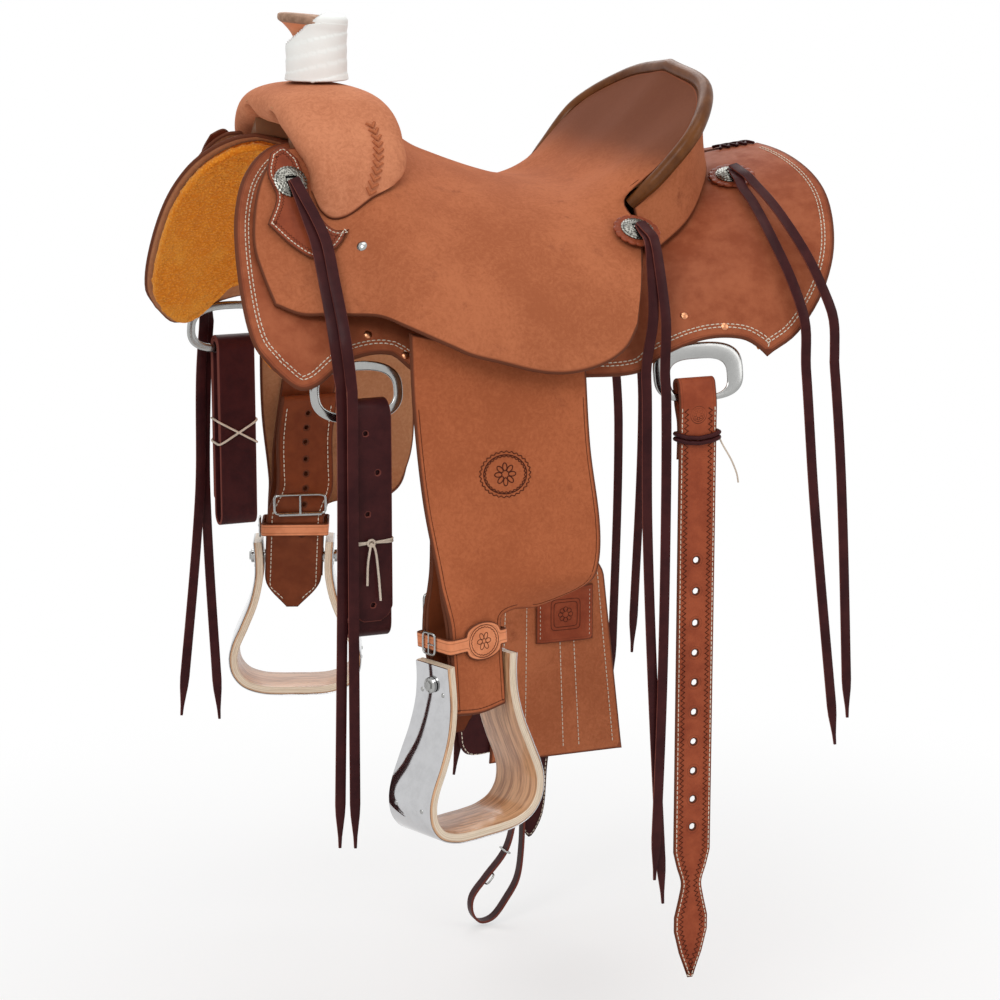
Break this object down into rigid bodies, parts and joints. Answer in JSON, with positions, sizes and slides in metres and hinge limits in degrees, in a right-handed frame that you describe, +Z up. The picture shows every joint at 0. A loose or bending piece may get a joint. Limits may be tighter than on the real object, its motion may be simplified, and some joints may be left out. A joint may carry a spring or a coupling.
{
  "type": "western ranch saddle",
  "caption": "Western ranch saddle with a wrapped horn, roughout seat and fork, swinging fenders and stirrups, rigging plates, latigos and a flank cinch.",
  "frame": {"origin": "on the underside of the fleece line along the horse's back, on the centre plane and halfway between the front and rear of the skirts", "axes": "+Z up, -X towards the horse's head, -Y towards the near side (left of the rider) and +Y towards the off side"},
  "size_m": [0.696, 0.7018, 1.172],
  "materials": {
    "rawhide_tree": "rawhide over wood",
    "ground_leather": "plain",
    "roughout_leather": "rough side out, matt",
    "binding_leather": "oiled, glossy",
    "horn_leather": "smooth",
    "horn_wrap_hide": "smooth white hide",
    "skirting_leather": "oiled",
    "fleece": "sheepskin pile",
    "stirrup_leather": "oiled",
    "stainless": "polished stainless",
    "engraved_silver": "engraved, darkened",
    "latigo_leather": "oiled, dark red-brown",
    "tooled_leather": "tooled and oiled",
    "stirrup_ash": "varnished"
  },
  "bodies": {
    "saddle": {"tree_bar_near": "rawhide_tree", "tree_bar_off": "rawhide_tree", "tree_cantle": "rawhide_tree", "tree_fork": "rawhide_tree", "ground_seat": "ground_leather", "fork_cover": "roughout_leather", "seat": "roughout_leather", "cantle_back": "roughout_leather", "cantle_binding": "binding_leather", "horn": "horn_leather", "horn_wrap": "horn_wrap_hide", "skirt_near": "skirting_leather", "skirt_off": "skirting_leather", "fleece_near": "fleece", "fleece_off": "fleece", "rigging_plate_front_near": "stainless", "rigging_plate_front_off": "stainless", "rigging_plate_rear_near": "stainless", "rigging_plate_rear_off": "stainless", "concho_front_near": "engraved_silver", "concho_front_off": "engraved_silver", "concho_mid_near": "engraved_silver", "concho_mid_off": "engraved_silver", "concho_rear_near": "engraved_silver", "concho_rear_off": "engraved_silver", "rosette_mid_near": "latigo_leather", "rosette_mid_off": "latigo_leather", "rosette_rear_near": "latigo_leather", "rosette_rear_off": "latigo_leather", "string_front_near": "latigo_leather", "string_front_off": "latigo_leather", "string_mid_near": "latigo_leather", "string_mid_off": "latigo_leather", "string_rear_near": "latigo_leather", "string_rear_off": "latigo_leather", "skirt_lacing": "latigo_leather", "front_patch_near": "tooled_leather", "front_patch_off": "tooled_leather"},
    "fender_near": {"fender_near": "roughout_leather", "stirrup_leather_near": "stirrup_leather", "hobble_strap_near": "tooled_leather", "hobble_buckle_near": "stainless"},
    "fender_off": {"fender_off": "roughout_leather", "stirrup_leather_off": "stirrup_leather", "hobble_strap_off": "tooled_leather", "hobble_buckle_off": "stainless"},
    "stirrup_near": {"stirrup_wood_near": "stirrup_ash", "stirrup_cladding_near": "stainless", "stirrup_bolt_near": "stainless"},
    "stirrup_off": {"stirrup_wood_off": "stirrup_ash", "stirrup_cladding_off": "stainless", "stirrup_bolt_off": "stainless"},
    "latigo_near": {"latigo_near": "latigo_leather"},
    "off_billet": {"off_billet": "latigo_leather"},
    "rear_billet_near": {"rear_billet_near": "tooled_leather"},
    "flank_cinch": {"flank_billet_off": "latigo_leather", "flank_cinch": "roughout_leather", "cinch_keeper": "tooled_leather", "cinch_tug": "latigo_leather"},
    "cinch_connector": {"cinch_connector": "latigo_leather"}
  },
  "joints": [
    {"name": "fender_swing_near", "type": "hinge", "parent": "saddle", "child": "fender_near", "pos_m": [-0.125, -0.1827, -0.024], "axis": [0, 1, 0], "range_deg": [-9, 1]},
    {"name": "fender_swing_off", "type": "hinge", "parent": "saddle", "child": "fender_off", "pos_m": [-0.125, 0.1827, -0.024], "axis": [0, 1, 0], "range_deg": [-9, 1]},
    {"name": "stirrup_turn_near", "type": "hinge", "parent": "fender_near", "child": "stirrup_near", "pos_m": [-0.15534, -0.29166, -0.437], "axis": [-0.9397, -0.342, 0], "range_deg": [-12, 25]},
    {"name": "stirrup_turn_off", "type": "hinge", "parent": "fender_off", "child": "stirrup_off", "pos_m": [-0.15534, 0.29166, -0.437], "axis": [0.9397, -0.342, 0], "range_deg": [-12, 25]},
    {"name": "latigo_swing_near", "type": "hinge", "parent": "saddle", "child": "latigo_near", "pos_m": [-0.253, -0.23297, -0.16268], "axis": [1, 0, 0], "range_deg": [0, 14]},
    {"name": "off_billet_swing", "type": "hinge", "parent": "saddle", "child": "off_billet", "pos_m": [-0.253, 0.23297, -0.16268], "axis": [-1, 0, 0], "range_deg": [0, 14]},
    {"name": "rear_billet_swing", "type": "hinge", "parent": "saddle", "child": "rear_billet_near", "pos_m": [0.134, -0.24673, -0.16092], "axis": [1, 0, 0], "range_deg": [-10, 10]},
    {"name": "flank_cinch_swing", "type": "hinge", "parent": "saddle", "child": "flank_cinch", "pos_m": [0.134, 0.24673, -0.16092], "axis": [-1, 0, 0], "range_deg": [0, 10]},
    {"name": "connector_swing", "type": "hinge", "parent": "flank_cinch", "child": "cinch_connector", "pos_m": [0.124, 0.2433, -0.775], "axis": [0, 1, 0], "range_deg": [-15, 15]}
  ]
}
